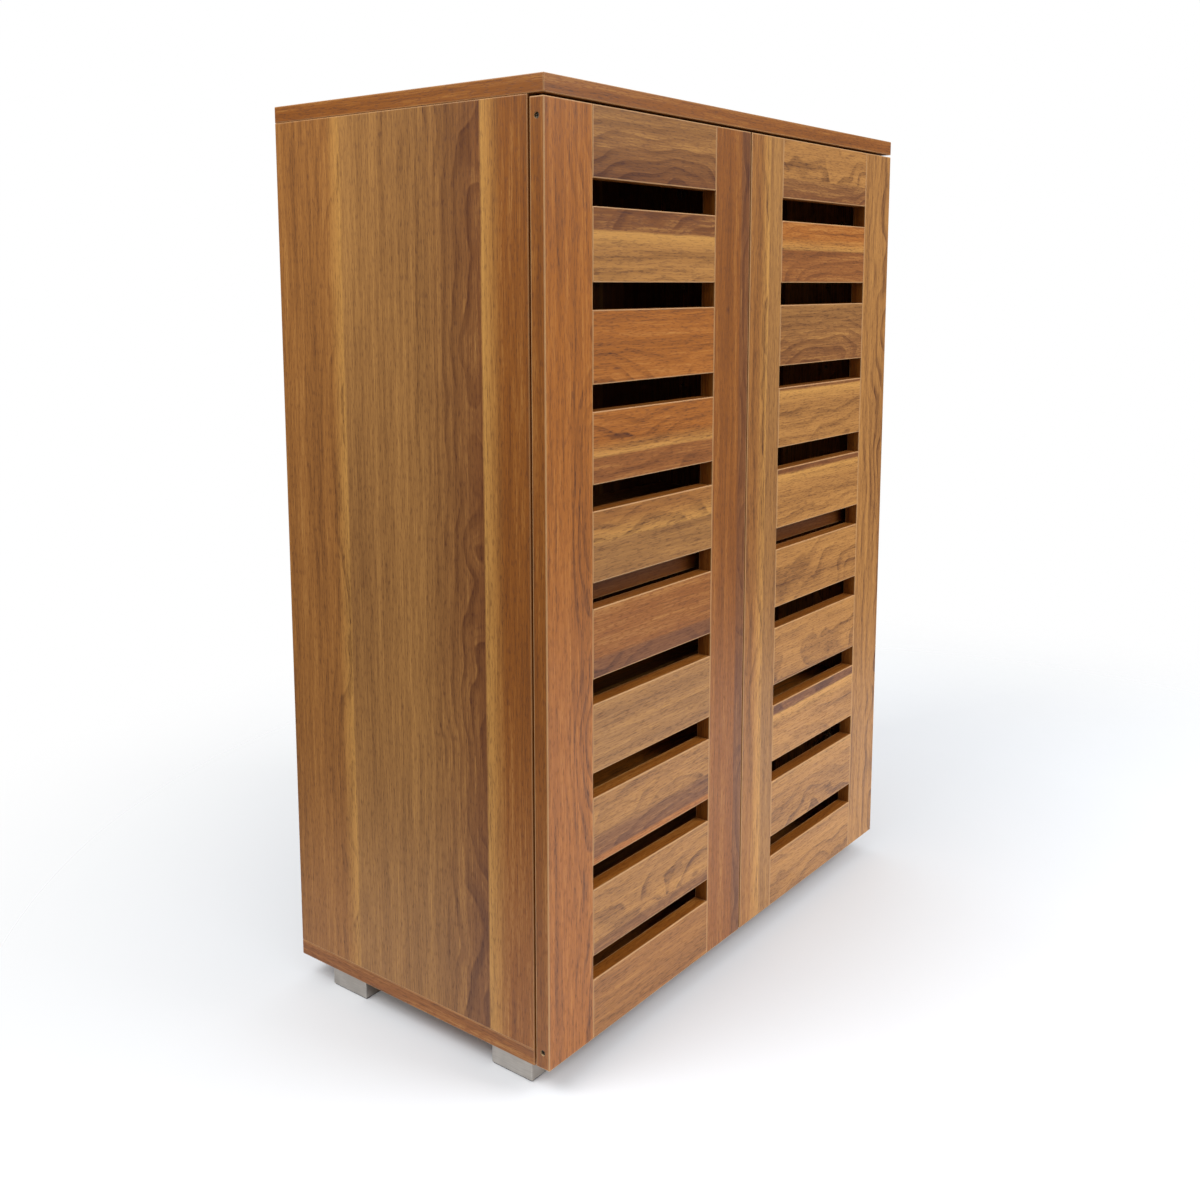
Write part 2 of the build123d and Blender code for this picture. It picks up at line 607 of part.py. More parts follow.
def pin(point, radius, start, end, z):
    """A pin of the piece being built, on both sides of a level."""
    x, y = spot(point)
    for sign in (-1, 1):
        with Locations((x, y, z + sign * (start + end) / 2)):
            Cylinder(radius, end - start)


def plate(outline, low, high):
    """A flat plate of the piece being built, between two levels."""
    with BuildSketch(Plane.XY.offset(low)) as face:
        add(outline)
    extrude(face.sketch, amount=high - low)


def plates(outline, levels, z):
    """A pair of flat plates of the piece being built, above and below a level."""
    plate(outline, z + levels[0], z + levels[1])
    plate(outline, z - levels[1], z - levels[0])


def both_sides(left_piece):
    """A left-hand piece and its mirror image."""
    with BuildPart() as pair:
        add(left_piece.part)
        mirror(left_piece.part, about=Plane.YZ)
    return pair


with BuildSketch() as arm_outline:
    with BuildLine():
        Polyline(*[spot(point) for point in ARM_OUTLINE], close=True)
    make_face()
    fillet(arm_outline.vertices(), ARM_OUTLINE_R)
arm_screw_forward = (PLATE_RIDGE[0][1] + PLATE_RIDGE[1][1]) / 2
arm_screw_x, arm_screw_y = spot((ARM_WEB[1][0], arm_screw_forward))
arm_screw_planes = facing((-1, 0, 0), [(arm_screw_x, arm_screw_y, z) for z in HINGE_ZS])
web_to_tip = ARM_WEB[1][0] - ARM_SCREW_TIP
web_thickness = ARM_WEB[1][0] - ARM_WEB[0][0]
wing_thickness = PLATE_WING[1][0] - PLATE_WING[0][0]

with BuildPart() as left_arms:
    for z in HINGE_ZS:
        plates(arm_outline.sketch, ARM_CHEEK, z)
        slab(ARM_WEB[0], ARM_WEB[1], ARM_CHEEK[1], z)
        pin(ARM_OUTER_PIVOT, LINK_PIN_R, 0.0, ARM_CHEEK[1], z)
        pin(ARM_INNER_PIVOT, LINK_PIN_R, 0.0, ARM_CHEEK[1], z)
    drill(arm_screw_planes, ARM_SCREW_R + HOLE_PLAY, web_thickness + BREAKTHROUGH)
finish(both_sides(left_arms), "hinge_arms")

with BuildPart() as left_plates:
    for z in HINGE_ZS:
        slab(PLATE_RIDGE[0], PLATE_RIDGE[1], PLATE_RIDGE_HALF, z)
        slab(PLATE_WING[0], PLATE_WING[1], PLATE_WING_HALF, z)
    drill(arm_screw_planes, ARM_SCREW_R + HOLE_PLAY, web_to_tip + TIP_PLAY)
    wing_points = [(-INNER_X, plate_screw_y, z) for z in plate_screw_zs]
    drill(facing((1, 0, 0), wing_points), PLATE_SCREW_R + HOLE_PLAY, wing_thickness + BREAKTHROUGH)
finish(both_sides(left_plates), "hinge_mounting_plates")

wing_face_x = -INNER_X + wing_thickness
plate_screw_planes = facing((-1, 0, 0), [(wing_face_x, plate_screw_y, z) for z in plate_screw_zs])
with BuildPart() as left_plate_screws:
    turn(
        plate_screw_planes,
        (
            (PLATE_SCREW_HEAD_R, -PLATE_SCREW_HEAD, 0.0),
            (PLATE_SCREW_R, 0.0, wing_thickness + PLATE_SCREW_DEPTH - TIP_PLAY),
        ),
    )
    plate_screw_tops = [plane.offset(-PLATE_SCREW_HEAD) for plane in plate_screw_planes]
    cross_recess(plate_screw_tops, PLATE_SCREW_HEAD_R, RECESS_DEPTH)
finish(both_sides(left_plate_screws), "hinge_plate_screws")

with BuildPart() as left_arm_screws:
    turn(
        arm_screw_planes,
        (
            (ARM_SCREW_HEAD_R, -ARM_SCREW_HEAD, 0.0),
            (ARM_SCREW_R, 0.0, web_to_tip),
        ),
    )
    arm_screw_tops = [plane.offset(-ARM_SCREW_HEAD) for plane in arm_screw_planes]
    cross_recess(arm_screw_tops, ARM_SCREW_HEAD_R, RECESS_DEPTH)
finish(both_sides(left_arm_screws), "hinge_arm_screws")

outer_link = link_outline(
    ((CUP_OUTER_PIVOT, LINK_EYE_R), (OUTER_KNEE, LINK_KNEE_R), (ARM_OUTER_PIVOT, LINK_EYE_R)),
    (CUP_OUTER_PIVOT, ARM_OUTER_PIVOT),
)
inner_link = link_outline(
    (
        (CUP_INNER_PIVOT, INNER_EYE_R),
        (INNER_KNEES[0], INNER_BAR_R),
        (INNER_KNEES[1], INNER_BAR_R),
        (ARM_INNER_PIVOT, INNER_ARM_EYE_R),
    ),
    (ARM_INNER_PIVOT,),
)
with BuildPart() as left_outer_links:
    for z in HINGE_ZS:
        plates(outer_link, OUTER_CHEEK, z)
with BuildPart() as left_inner_links:
    for z in HINGE_ZS:
        plate(inner_link, z - INNER_LINK_HALF, z + INNER_LINK_HALF)

cup_x, _ = spot((CUP_CENTRE, 0.0))
flange_y = DOOR_BACK + FLANGE
ear_x, _ = spot((EAR_CENTRE, 0.0))
cup_planes = facing((0, -1, 0), [(cup_x, flange_y, z) for z in HINGE_ZS])
ear_screw_planes = facing((0, -1, 0), [(ear_x, flange_y, z) for z in cup_screw_zs])
notch_x, _ = spot((CUP_NOTCH, 0.0))
with BuildPart() as left_cups:
    turn(cup_planes, ((CUP_R, 0.0, FLANGE + CUP_DEPTH),))
    for z in HINGE_ZS:
        with BuildSketch(Plane(origin=(ear_x, flange_y, z), z_dir=(0, -1, 0))):
            RectangleRounded(EAR_WIDTH, EAR_LENGTH, EAR_CORNER)
        extrude(amount=FLANGE)
    drill(cup_planes, CUP_INNER_R, FLANGE + CUP_DEPTH - CUP_FLOOR)
    drill(ear_screw_planes, CUP_SCREW_R + HOLE_PLAY, FLANGE + BREAKTHROUGH)
    for z in HINGE_ZS:
        with Locations((notch_x - CUP_R / 2, DOOR_BACK + FLANGE / 2, z)):
            Box(CUP_R, FLANGE, 2 * CUP_R, mode=Mode.SUBTRACT)
        pin(CUP_OUTER_PIVOT, LINK_PIN_R, CUP_PIN[0], CUP_PIN[1], z)
with BuildPart() as left_cup_screws:
    turn(
        ear_screw_planes,
        (
            (CUP_SCREW_HEAD_R, -CUP_SCREW_HEAD, 0.0),
            (CUP_SCREW_R, 0.0, FLANGE + CUP_SCREW_DEPTH - TIP_PLAY),
        ),
    )
    cup_screw_tops = [plane.offset(-CUP_SCREW_HEAD) for plane in ear_screw_planes]
    cross_recess(cup_screw_tops, CUP_SCREW_HEAD_R, CUP_SCREW_RECESS_DEPTH)

hinge_pieces = {
    "outer_links": left_outer_links,
    "inner_links": left_inner_links,
    "hinge_cups": left_cups,
    "cup_screws": left_cup_screws,
}
for label, left_piece in hinge_pieces.items():
    with BuildPart() as right_piece:
        mirror(left_piece.part, about=Plane.YZ)
    finish(left_piece, f"left_{label}")
    finish(right_piece, f"right_{label}")
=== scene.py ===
import math
import bpy
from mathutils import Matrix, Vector


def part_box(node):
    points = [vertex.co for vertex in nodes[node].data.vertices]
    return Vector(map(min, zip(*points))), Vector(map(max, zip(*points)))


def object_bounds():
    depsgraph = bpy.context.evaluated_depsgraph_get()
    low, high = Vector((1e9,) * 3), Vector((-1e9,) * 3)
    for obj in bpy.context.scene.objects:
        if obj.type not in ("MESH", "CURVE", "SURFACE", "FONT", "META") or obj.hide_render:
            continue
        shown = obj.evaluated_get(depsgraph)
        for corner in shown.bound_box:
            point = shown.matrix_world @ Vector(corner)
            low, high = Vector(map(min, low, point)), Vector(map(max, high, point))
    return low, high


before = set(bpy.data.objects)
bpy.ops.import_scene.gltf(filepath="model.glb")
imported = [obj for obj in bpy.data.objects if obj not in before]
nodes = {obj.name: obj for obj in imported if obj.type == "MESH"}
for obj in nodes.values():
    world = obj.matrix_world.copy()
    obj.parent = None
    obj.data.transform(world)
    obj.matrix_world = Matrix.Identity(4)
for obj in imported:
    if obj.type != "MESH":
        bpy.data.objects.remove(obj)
cad_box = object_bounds()

# ---------------------------------------------------------------- colours


def srgb(red, green, blue):
    """A colour given in the usual 0 to 255 values, as linear light."""
    parts = [part / 255 for part in (red, green, blue)]
    light = [part / 12.92 if part <= 0.04045 else ((part + 0.055) / 1.055) ** 2.4 for part in parts]
    return (*light, 1.0)


# Ground tones of the printed walnut
AMBER = srgb(166, 98, 32)
ORANGE = srgb(158, 103, 46)
RUST = srgb(144, 84, 26)
LIGHT = srgb(168, 116, 58)
GREY = srgb(134, 87, 44)
GREY_LIGHT = srgb(157, 109, 56)
DARK = srgb(124, 74, 34)
RED = srgb(146, 88, 38)
SAP = srgb(194, 140, 70)

# What lines and pores go towards, what light streaks go towards, and the eased edges' pale band: painted
# highlight, partly a paler edge tone
DEEP = srgb(78, 36, 10)
PALE = srgb(212, 156, 84)
ARRIS = srgb(196, 152, 104)

# Other materials, each as (darker tone, lighter tone)
SATIN_TONES = (srgb(182, 175, 167), srgb(206, 200, 192))
NICKEL_TONES = (srgb(176, 171, 162), srgb(214, 209, 200))
ZINC_TONES = (srgb(150, 152, 152), srgb(196, 198, 200))
# Zinc of the door frame screws, taken darker and browner: painted shade of the holes they sit in
HOLE_SHADE_ZINC_TONES = (srgb(84, 76, 66), srgb(128, 118, 104))
PAD_TONES = (srgb(20, 20, 21), srgb(44, 44, 46))
BEECH_TONES = (srgb(186, 144, 98), srgb(224, 190, 146))
FLOOR_TONES = (srgb(219, 222, 226), srgb(222, 225, 229))
CHIP_STOPS = ((0.0, srgb(128, 92, 58)), (0.45, srgb(186, 152, 108)), (1.0, srgb(214, 186, 146)))
HARDBOARD_STOPS = ((0.30, srgb(96, 66, 42)), (0.52, srgb(128, 92, 60)), (0.72, srgb(158, 120, 82)))

# ---------------------------------------------------------------- driving values, in metres

# The printed foil: strips side by side, each as (width, tone at its start, tone at its end, distance from
# the middle of a figure at its start, and at its end). Every board is cut from it, with its own window.
FOIL = (
    (0.070, ORANGE, ORANGE, 0.110, 0.050),
    (0.018, ORANGE, SAP, 0.050, 0.040),
    (0.100, GREY_LIGHT, GREY_LIGHT, 0.170, 0.075),
    (0.074, GREY_LIGHT, DARK, 0.075, 0.002),
    (0.022, SAP, RUST, 0.150, 0.130),
    (0.046, RUST, RUST, 0.130, 0.090),
    (0.022, DARK, DARK, 0.030, 0.010),
    (0.014, SAP, LIGHT, 0.150, 0.140),
    (0.064, LIGHT, LIGHT, 0.060, 0.010),
    (0.022, GREY, DARK, 0.040, 0.020),
    (0.068, AMBER, AMBER, 0.100, 0.020),
    (0.014, AMBER, SAP, 0.080, 0.070),
    (0.066, RED, RED, 0.050, 0.005),
    (0.040, RED, ORANGE, 0.005, 0.110),
)
FOIL_WIDTH = sum(strip[0] for strip in FOIL)

# How far the change of tone between two strips reaches, and a distance from a figure beyond all of theirs
SEAM = 0.0005
FIGURE_FAR = 0.200

# Where each rail's window starts on the foil, from the top rail down
RAIL_WINDOWS = {
    "left": (0.200, 0.331, 0.455, 0.494, 0.060, 0.285, 0.110, 0.395, 0.380, 0.004),
    "right": (0.392, 0.505, 0.190, 0.348, 0.345, 0.368, 0.371, 0.340, 0.356, 0.372),
}

# Where each stile's window starts
STILE_WINDOWS = {
    "left_door_outer_stile": 0.456,
    "left_door_inner_stile": 0.285,
    "right_door_inner_stile": 0.052,
    "right_door_outer_stile": 0.368,
}

# The axis that the grain of each carcass board runs along (0 for X, 2 for Z), and where its window starts
CARCASS_WINDOWS = {
    "left_side_panel": (2, 0.000),
    "right_side_panel": (2, 0.150),
    "top_panel": (0, 0.060),
    "bottom_panel": (0, 0.300),
    "middle_shelf": (0, 0.120),
    "lower_shelf": (0, 0.260),
    "upper_shelf": (0, 0.400),
}

# The window of every board's narrow edges, and how far those of the shelves go towards DEEP, as painted
# shade of the shelf edges behind the doors
EDGE_WINDOW = 0.292
SHELF_EDGE_PAINTED_SHADE = 0.55

# How far noise is moved on from one board to the next, and from a board's faces to its edges
SEED_STEP = 1.37
EDGE_SEED = 0.37

# Noise drawn out along the grain: features a metre along it, features a metre across it, and detail
GRAIN = {
    "waver": (5.0, 4.0, 2.0),
    "wander": (4.0, 4.5, 3.0),
    "shiver": (40.0, 90.0, 2.0),
    "strength": (6.0, 60.0, 2.0),
    "broad": (1.8, 34.0, 3.0),
    "streak": (3.2, 150.0, 3.0),
    "fibre": (24.0, 650.0, 2.0),
    "pore": (130.0, 950.0, 1.0),
    "fleck": (120.0, 900.0, 2.0),
}

# The middle of noise that runs from 0 to 1, and the span that most of it lies in
MID_NOISE = 0.5
NOISE_SPAN = (0.3, 0.7)

# How far seams wave, how far rings tremble, how far they wander anywhere, and how much more in a figure
SEAM_WAVER = 0.004
RING_SHIVER = 0.0022
STRAIGHT_WANDER = 0.010
FIGURE_WANDER = 0.150

# Rings of a figure: the size of its middle, the distance between rings, and the shares of that distance in
# which a ring darkens slowly and then fades fast
FIGURE_CORE = 0.040
FIGURE_PITCH = 0.0090
RING_DARKENS = (0.40, 0.90)
RING_FADES = (0.92, 1.0)

# Fine rings within each ring: how many, where they darken, and how strong they are
FINE_RINGS = 4.0
FINE_DARKENS = (0.2, 1.0)
FINE_STRENGTH = 0.22

# Spans as (from, to, result at from, result at to): the strength of rings along their length, and their
# strength as they come near a figure
STRENGTH_SPAN = (0.32, 0.62, 0.35, 1.0)
NEARNESS_SPAN = (0.0, 0.8, 0.22, 1.0)

# How much rings darken the foil, the noise at which a pore starts and is full, how much each other mark
# darkens the foil, and how much a sum below nought lightens it
RING_DARK = 0.54
PORE_SPAN = (0.52, 0.66)
DARKENING = {"pore": 0.36, "broad": -1.0, "streak": -0.95, "fibre": -1.1}
LIGHTENING = -0.9

# The foil's relief: its level, how far fibres lift it and pores lower it, the height of one unit in metres,
# how strongly it shows, and the roughness where it is 0 and where it is 1
RELIEF_LEVEL = 0.5
FIBRE_RELIEF = 0.5
PORE_RELIEF = -0.7
FOIL_BUMP = 0.00006
FOIL_BUMP_STRENGTH = 0.6
FOIL_ROUGHNESS = (0.46, 0.30)

# Eased edges, with a pale band painted on as highlight, partly a paler edge tone: how far it is fully pale,
# how far the band reaches, features a metre and detail of its unevenness, how far that moves it, and how
# pale the carcass and the doors get
ARRIS_CORE = 0.0003
ARRIS_REACH = 0.0011
ARRIS_NOISE_SCALE = 60.0
ARRIS_NOISE_DETAIL = 3.0
ARRIS_NOISE_DEPTH = -0.0006
CARCASS_EDGE_HIGHLIGHT = 0.34
DOOR_EDGE_HIGHLIGHT = 0.76

# How straight along an axis a face has to look to be that side of a board, and how deep in it a hole starts
AXIS_SHARE = 0.7
HOLE_DEPTH = 0.0009

# The back panel: its place on the foil, its seed, and how far its print goes towards DEEP
BACK_SHIFT = 1.0
BACK_SEED = 71.0
BACK_DIM = 0.45

# Features a metre in the textures of the other materials, and the span of mixed noise that metal shows
CHIPS = 620.0
PAD_TEXTURE = 1400.0
HARDBOARD_FIBRES = 260.0
METAL_STAINS = 45.0
METAL_SPAN = (0.35, 0.65)
FLOOR_CLOUDS = 3.0

# Camera, with its turn and tilt in degrees and its lens in millimetres
CAMERA_PLACE = (-1.0993, -0.8252, 0.7057)
CAMERA_TURN = 52.375
CAMERA_TILT = 7.884
LENS = 38.13
SHIFT = -0.1167
CLIP_START = 0.01

# Floor, a disc with its fade to white, and how bright the surroundings are apart from what the camera sees
FLOOR_CENTRE = (0.25, -0.20, 0.0)
FLOOR_RADIUS = 1.3
FLOOR_FADE_START = 0.45
FLOOR_SIDES = 96
AMBIENT = 0.16

# Broad light from above: direction, spread in degrees, power
SUN_AIM = (0.05, 0.08, -1.0)
SUN_SPREAD = 120.0
SUN_POWER = 2.15

# Square lights: name, place, what it looks at, side, power in watts, and whether it shows in reflections
MIDDLE = (cad_box[0] + cad_box[1]) / 2
DOOR_FOOT = (0.1, -0.165, 0.1)
SOFT_LIGHTS = (
    ("left_box", (-1.45, 0.3, 1.9), MIDDLE, 1.0, 28.0, True),
    ("right_box", (1.0, -2.4, 2.15), MIDDLE, 1.6, 62.0, True),
    ("low_box", (0.85, -1.35, 0.16), DOOR_FOOT, 0.7, 4.0, False),
)


# ---------------------------------------------------------------- material helpers


class Tree:
    """Short ways to add a material's nodes and join them."""

    def __init__(self, tree):
        self.tree = tree

    def add(self, kind, **settings):
        """A new node with its settings."""
        node = self.tree.nodes.new("ShaderNode" + kind)
        for name, value in settings.items():
            setattr(node, name, value)
        return node

    def feed(self, socket, value):
        """Join a socket to another one, or set it to a plain value."""
        if isinstance(value, bpy.types.NodeSocket):
            self.tree.links.new(value, socket)
        else:
            socket.default_value = value

    def math(self, operation, *values, clamp=False):
        """One step of arithmetic."""
        node = self.add("Math", operation=operation, use_clamp=clamp)
        for socket, value in zip(node.inputs, values):
            self.feed(socket, value)
        return node.outputs[0]

    def blend(self, factor, first, second):
        """Two numbers mixed by a factor."""
        node = self.add("Mix", data_type="FLOAT")
        for socket, value in zip((node.inputs[0], node.inputs[2], node.inputs[3]), (factor, first, second)):
            self.feed(socket, value)
        return node.outputs[0]

    def tint(self, factor, first, second):
        """Two colours mixed by a factor."""
        node = self.add("Mix", data_type="RGBA")
        for socket, value in zip((node.inputs[0], node.inputs[6], node.inputs[7]), (factor, first, second)):
            self.feed(socket, value)
        return node.outputs[2]

    def span(self, value, low, high, start=0.0, end=1.0):
        """A number eased from one range to another."""
        node = self.add("MapRange", interpolation_type="SMOOTHSTEP")
        for socket, number in zip(node.inputs, (value, low, high, start, end)):
            self.feed(socket, number)
        return node.outputs[0]

    def point(self, x, y, z):
        """A vector from three numbers."""
        node = self.add("CombineXYZ")
        for socket, value in zip(node.inputs, (x, y, z)):
            self.feed(socket, value)
        return node.outputs[0]

    def parts(self, vector):
        """The three numbers of a vector."""
        node = self.add("SeparateXYZ")
        self.feed(node.inputs[0], vector)
        return node.outputs

    def length(self, vector):
        """How long a vector is."""
        node = self.add("VectorMath", operation="LENGTH")
        self.feed(node.inputs[0], vector)
        return node.outputs["Value"]

    def noise(self, vector, detail=2.0, scale=1.0, roughness=0.5):
        """Smooth noise from 0 to 1."""
        node = self.add("TexNoise", noise_dimensions="3D")
        self.feed(node.inputs["Vector"], vector)
        self.feed(node.inputs["Scale"], scale)
        self.feed(node.inputs["Detail"], detail)
        self.feed(node.inputs["Roughness"], roughness)
        return node.outputs["Fac"]

    def ramp(self, value, stops):
        """A colour read off stops given as (position, colour)."""
        node = self.add("ValToRGB")
        elements = node.color_ramp.elements
        elements[0].position, elements[0].color = stops[0]
        elements[1].position, elements[1].color = stops[-1]
        for position, colour in stops[1:-1]:
            elements.new(position).color = colour
        self.feed(node.inputs[0], value)
        return node.outputs[0]

    def bump(self, height, distance, strength=1.0):
        """A normal from a height."""
        node = self.add("Bump")
        self.feed(node.inputs["Strength"], strength)
        self.feed(node.inputs["Distance"], distance)
        self.feed(node.inputs["Height"], height)
        return node.outputs["Normal"]


def new_material(name):
    """An empty material, its tree and its shader."""
    material = bpy.data.materials.new(name)
    material.use_nodes = True
    tree = Tree(material.node_tree)
    shader = material.node_tree.nodes["Principled BSDF"]
    return material, tree, shader


def grain(tree, kind, along, across, seed):
    """One of the drawn-out noises, from 0 to 1."""
    along_scale, across_scale, detail = GRAIN[kind]
    drawn_along = tree.math("MULTIPLY", along, along_scale)
    drawn_across = tree.math("MULTIPLY", across, across_scale)
    return tree.noise(tree.point(drawn_along, drawn_across, seed), detail)


def swing(tree, kind, along, across, seed):
    """One of the drawn-out noises, above and below nought."""
    return tree.math("SUBTRACT", grain(tree, kind, along, across, seed), MID_NOISE)


# ---------------------------------------------------------------- printed walnut foil


def foil_stops(read):
    """Stops across the whole foil, with a crisp seam between strips."""
    stops = []
    start = 0.0
    for strip in FOIL:
        first, last = read(strip)
        stops.append(((start + (SEAM if start else 0.0)) / FOIL_WIDTH, first))
        start += strip[0]
        stops.append((start / FOIL_WIDTH, last))
    return stops


def strip_tones(strip):
    """A strip's tones at its start and its end."""
    return strip[1:3]


def strip_distances(strip):
    """A strip's distances from a figure at its start and its end, each as a grey from 0 to 1."""
    return [(*[distance / FIGURE_FAR] * 3, 1.0) for distance in strip[3:5]]


def ring_lines(tree, place, position):
    """Growth rings of the foil: arches near a figure, straight lines away from it."""
    distance = tree.math("MULTIPLY", tree.ramp(place, foil_stops(strip_distances)), FIGURE_FAR)
    core = FIGURE_CORE**2
    reach = tree.math("MULTIPLY_ADD", distance, distance, core)
    nearness = tree.math("DIVIDE", core, reach)
    freedom = tree.math("MULTIPLY_ADD", nearness, FIGURE_WANDER, STRAIGHT_WANDER)
    wander = tree.math("MULTIPLY", swing(tree, "wander", *position), freedom)
    path = tree.math("ADD", tree.math("SQRT", reach), wander)
    ring = tree.math("MULTIPLY_ADD", swing(tree, "shiver", *position), RING_SHIVER, path)
    phase = tree.math("FRACT", tree.math("DIVIDE", ring, FIGURE_PITCH))
    line = tree.math("MULTIPLY", tree.span(phase, *RING_DARKENS), tree.span(phase, *RING_FADES, 1.0, 0.0))
    fine = tree.math("FRACT", tree.math("MULTIPLY", phase, FINE_RINGS))
    line = tree.math("MULTIPLY_ADD", tree.span(fine, *FINE_DARKENS), FINE_STRENGTH, line)
    strength = tree.span(grain(tree, "strength", *position), *STRENGTH_SPAN)
    return tree.math("MULTIPLY", line, tree.math("MULTIPLY", strength, tree.span(nearness, *NEARNESS_SPAN)))


def foil_group():
    """The foil as a node group: place on the foil in, colour and relief out."""
    group = bpy.data.node_groups.new("walnut_foil", "ShaderNodeTree")
    for name in ("Along", "Across", "Seed"):
        group.interface.new_socket(name=name, in_out="INPUT", socket_type="NodeSocketFloat")
    group.interface.new_socket(name="Color", in_out="OUTPUT", socket_type="NodeSocketColor")
    group.interface.new_socket(name="Relief", in_out="OUTPUT", socket_type="NodeSocketFloat")
    tree = Tree(group)
    position = group.nodes.new("NodeGroupInput").outputs[:3]
    output = group.nodes.new("NodeGroupOutput")

    waved = tree.math("MULTIPLY_ADD", swing(tree, "waver", *position), SEAM_WAVER, position[1])
    place = tree.math("FRACT", tree.math("DIVIDE", waved, FOIL_WIDTH))
    tone = tree.ramp(place, foil_stops(strip_tones))

    marks = {kind: swing(tree, kind, *position) for kind in ("broad", "streak", "fibre")}
    marks["pore"] = tree.span(grain(tree, "pore", *position), *PORE_SPAN)
    dark = tree.math("MULTIPLY", ring_lines(tree, place, position), RING_DARK)
    for kind, amount in DARKENING.items():
        dark = tree.math("MULTIPLY_ADD", marks[kind], amount, dark)
    colour = tree.tint(tree.math("MAXIMUM", dark, 0.0, clamp=True), tone, DEEP)
    colour = tree.tint(tree.math("MULTIPLY", dark, LIGHTENING, clamp=True), colour, PALE)
    fibres = tree.math("MULTIPLY_ADD", marks["fibre"], FIBRE_RELIEF, RELIEF_LEVEL)
    relief = tree.math("MULTIPLY_ADD", marks["pore"], PORE_RELIEF, fibres)
    tree.feed(output.inputs["Color"], colour)
    tree.feed(output.inputs["Relief"], relief)
    return group


def foil_on(tree, along, across, seed):
    """The foil laid on a piece."""
    foil = tree.add("Group", node_tree=walnut_foil)
    tree.feed(foil.inputs["Along"], along)
    tree.feed(foil.inputs["Across"], across)
    tree.feed(foil.inputs["Seed"], seed)
    return foil.outputs


# ---------------------------------------------------------------- boards


def edge_gap(tree, place, low, high):
    """How far a point on a board's surface is from the nearest edge of the board."""
    gaps = []
    for number, start, end in zip(place, low, high):
        from_low = tree.math("SUBTRACT", number, start)
        from_high = tree.math("SUBTRACT", end, number)
        gaps.append(tree.math("MINIMUM", from_low, from_high))
    smaller = tree.math("MINIMUM", gaps[0], gaps[1])
    larger = tree.math("MAXIMUM", gaps[0], gaps[1])
    return tree.math("MAXIMUM", smaller, tree.math("MINIMUM", larger, gaps[2]))


def board_material(name, grain_axis, window, seed, flipped, edge_highlight):
    """Foil on one board: its window on the faces, a narrow band on the edges, a pale band on its eased edges
    as painted highlight, partly a paler edge tone, and on shelves edges darkened as painted shade.
    """
    low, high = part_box(name)
    size = high - low
    thin_axis = min(range(3), key=lambda axis: size[axis])
    across_axis = 3 - grain_axis - thin_axis
    material, tree, shader = new_material(f"walnut_{name}")
    coordinates = tree.add("TexCoord")
    place = tree.parts(coordinates.outputs["Object"])
    normal = tree.parts(coordinates.outputs["Normal"])

    on_side = tree.math("GREATER_THAN", tree.math("ABSOLUTE", normal[across_axis]), AXIS_SHARE)
    on_end = tree.math("GREATER_THAN", tree.math("ABSOLUTE", normal[grain_axis]), AXIS_SHARE)
    on_edge = tree.math("MAXIMUM", on_side, on_end)
    if flipped:
        face_across = tree.math("SUBTRACT", high[across_axis] + window, place[across_axis])
    else:
        face_across = tree.math("SUBTRACT", place[across_axis], low[across_axis] - window)
    edge_across = tree.math("SUBTRACT", place[thin_axis], low[thin_axis] - EDGE_WINDOW)
    foil = foil_on(
        tree,
        tree.blend(on_end, place[grain_axis], place[across_axis]),
        tree.blend(on_edge, face_across, edge_across),
        tree.math("MULTIPLY_ADD", on_edge, EDGE_SEED, seed),
    )
    colour = foil["Color"]
    # The shelves' narrow edges are darkened towards DEEP: painted shade, as they sit deep behind the doors
    if name.endswith("_shelf"):
        colour = tree.tint(tree.math("MULTIPLY", on_edge, SHELF_EDGE_PAINTED_SHADE), colour, DEEP)

    # A pale band along the eased edges: painted highlight, partly a paler edge tone
    arris_noise = tree.noise(coordinates.outputs["Object"], ARRIS_NOISE_DETAIL, ARRIS_NOISE_SCALE)
    gap = tree.math("MULTIPLY_ADD", arris_noise, ARRIS_NOISE_DEPTH, edge_gap(tree, place, low, high))
    pale = tree.math("MULTIPLY", tree.span(gap, ARRIS_CORE, ARRIS_REACH, 1.0, 0.0), edge_highlight)
    tree.feed(shader.inputs["Base Color"], tree.tint(pale, colour, ARRIS))
    tree.feed(shader.inputs["Roughness"], tree.span(foil["Relief"], 0.0, 1.0, *FOIL_ROUGHNESS))
    tree.feed(shader.inputs["Normal"], tree.bump(foil["Relief"], FOIL_BUMP, FOIL_BUMP_STRENGTH))
    return material


def chipboard_material():
    """The inside of a board, where a hole opens it."""
    material, tree, shader = new_material("chipboard")
    chips = tree.add("TexVoronoi", feature="F1")
    tree.feed(chips.inputs["Vector"], tree.add("TexCoord").outputs["Object"])
    tree.feed(chips.inputs["Scale"], CHIPS)
    chip = tree.add("RGBToBW")
    tree.feed(chip.inputs[0], chips.outputs["Color"])
    shade = chip.outputs[0]
    tree.feed(shader.inputs["Base Color"], tree.ramp(shade, CHIP_STOPS))
    tree.feed(shader.inputs["Roughness"], tree.span(shade, 0.0, 1.0, start=0.95, end=0.75))
    tree.feed(shader.inputs["Normal"], tree.bump(shade, distance=0.0003))
    return material


def is_inside(polygon, low, high):
    """Whether a face of a board lies inside it, in a hole or a groove."""
    centre = polygon.center
    depth = min(min(centre[axis] - low[axis], high[axis] - centre[axis]) for axis in range(3))
    return depth > HOLE_DEPTH


def cover_board(name, material):
    """Put the foil outside a board and chipboard inside its holes."""
    mesh = nodes[name].data
    low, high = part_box(name)
    mesh.materials.clear()
    mesh.materials.append(material)
    mesh.materials.append(chipboard)
    for polygon in mesh.polygons:
        polygon.material_index = int(is_inside(polygon, low, high))


